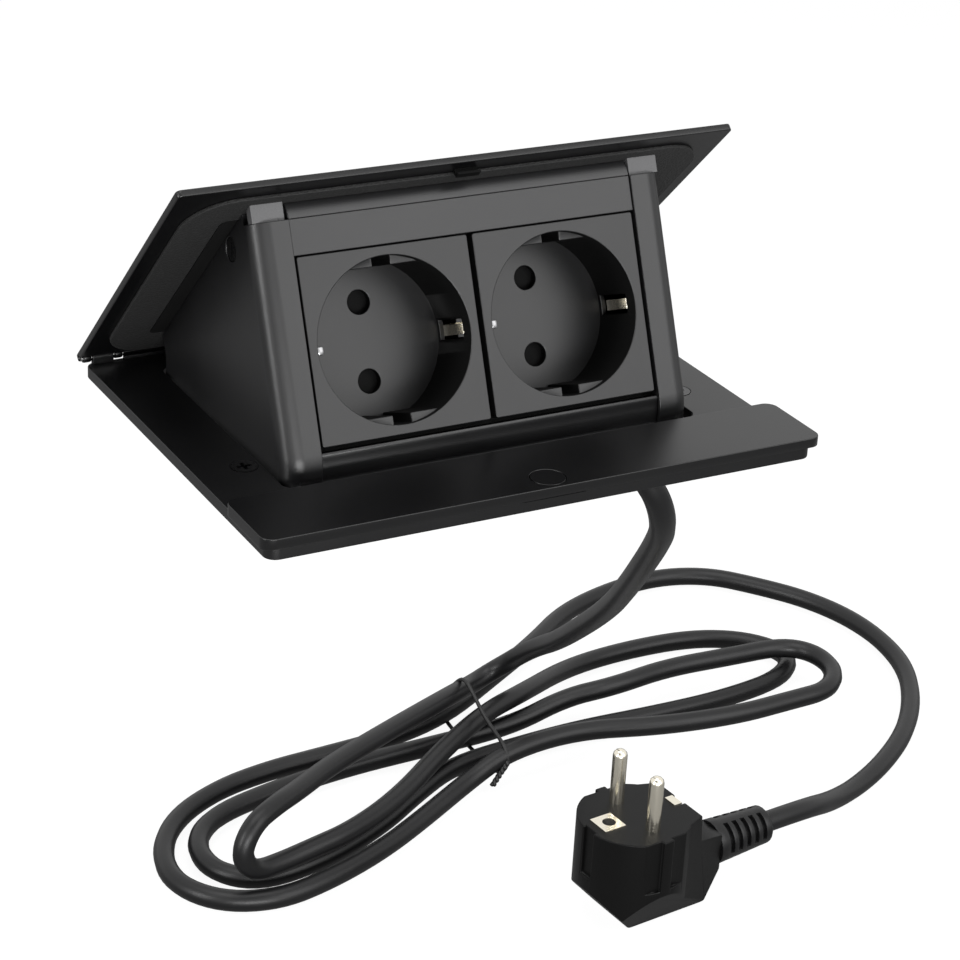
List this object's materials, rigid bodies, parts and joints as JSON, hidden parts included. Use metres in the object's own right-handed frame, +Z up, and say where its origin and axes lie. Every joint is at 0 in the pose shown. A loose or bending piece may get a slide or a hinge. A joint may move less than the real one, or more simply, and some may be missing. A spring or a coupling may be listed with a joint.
{
  "type": "pop up desk socket",
  "caption": "Pop-up desk socket standing open: a hinged lid carries a wedge-shaped block with earthed sockets over a flange with a front bar and release button, with a looped cord and plug.",
  "frame": {"origin": "middle of the flange's underside, on the desk top", "axes": "+X right along the front bar, +Y to the back where the hinge is, +Z up out of the desk"},
  "size_m": [0.3783, 0.3271, 0.2966],
  "materials": {
    "black_metal": "satin",
    "black_plate": "matt",
    "black_plastic": "matt",
    "foam": "matt, grainy",
    "liner": "matt",
    "rubber": "matt",
    "cord": "satin",
    "tie": "satin",
    "plug": "matt",
    "dark_screw": "satin",
    "bright_screw": "satin",
    "spring_steel": "satin",
    "nickel": "polished",
    "brass": "satin"
  },
  "bodies": {
    "base": {"base_frame": "black_plate", "front_bar": "black_metal", "desk_screws": "dark_screw", "bar_screws": "bright_screw", "hinge_pins": "bright_screw", "latch_spring": "spring_steel", "cord_hank": "cord", "cord_tail": "cord", "cord_tie": "tie", "plug_body": "plug", "plug_relief": "plug", "plug_pins": "nickel", "plug_earth_contacts": "nickel"},
    "flip": {"lid_plate": "black_metal", "lid_gasket": "foam", "lid_liner": "liner", "lid_striker": "black_plate", "cheek_left": "black_plastic", "cheek_right": "black_plastic", "bottom_cover": "black_plastic", "cover_screws": "bright_screw", "rear_wall": "black_plastic", "spring_arbor": "bright_screw", "torsion_spring": "spring_steel", "front_sill": "black_plastic", "top_strip": "black_plastic", "top_band": "black_plastic", "column_caps": "black_plastic", "support_frame": "black_plate", "side_screws": "dark_screw", "socket_cover_left": "black_plastic", "socket_cover_right": "black_plastic", "socket_body_left": "black_plastic", "socket_body_right": "black_plastic", "line_contacts_left": "brass", "line_contacts_right": "brass", "earth_clips_left": "nickel", "earth_clips_right": "nickel", "cable_gland": "rubber", "cord_drop": "cord"},
    "button": {"release_button": "black_metal"},
    "latch": {"latch_slide": "spring_steel"},
    "shutter_left": {"shutter_left": "black_plastic"},
    "shutter_right": {"shutter_right": "black_plastic"}
  },
  "joints": [
    {"name": "lid_flip", "type": "hinge", "parent": "base", "child": "flip", "pos_m": [0, 0.0558, 0.0045], "axis": [1, 0, 0], "range_deg": [0, 45], "stiffness_Nm_per_rad": 0.3, "springref_deg": -85.94, "deforming": ["torsion_spring", "cord_drop"]},
    {"name": "button_press", "type": "slide", "parent": "base", "child": "button", "axis": [0, 0, -1], "range_m": [0, 0.0012], "stiffness_N_per_m": 400, "springref_m": -0.0006},
    {"name": "latch_pull", "type": "slide", "parent": "base", "child": "latch", "axis": [0, -1, 0], "range_m": [0, 0.0015], "stiffness_N_per_m": 400, "springref_m": -0.0006, "deforming": ["latch_spring"]},
    {"name": "shutter_left_slide", "type": "slide", "parent": "flip", "child": "shutter_left", "axis": [-1, 0, 0], "range_m": [0, 0.0058], "stiffness_N_per_m": 100, "springref_m": -0.002},
    {"name": "shutter_right_slide", "type": "slide", "parent": "flip", "child": "shutter_right", "axis": [-1, 0, 0], "range_m": [0, 0.0058], "stiffness_N_per_m": 100, "springref_m": -0.002}
  ],
  "couplings": [
    {"joint": "latch_pull", "follows": "button_press", "ratio": 1.25}
  ]
}
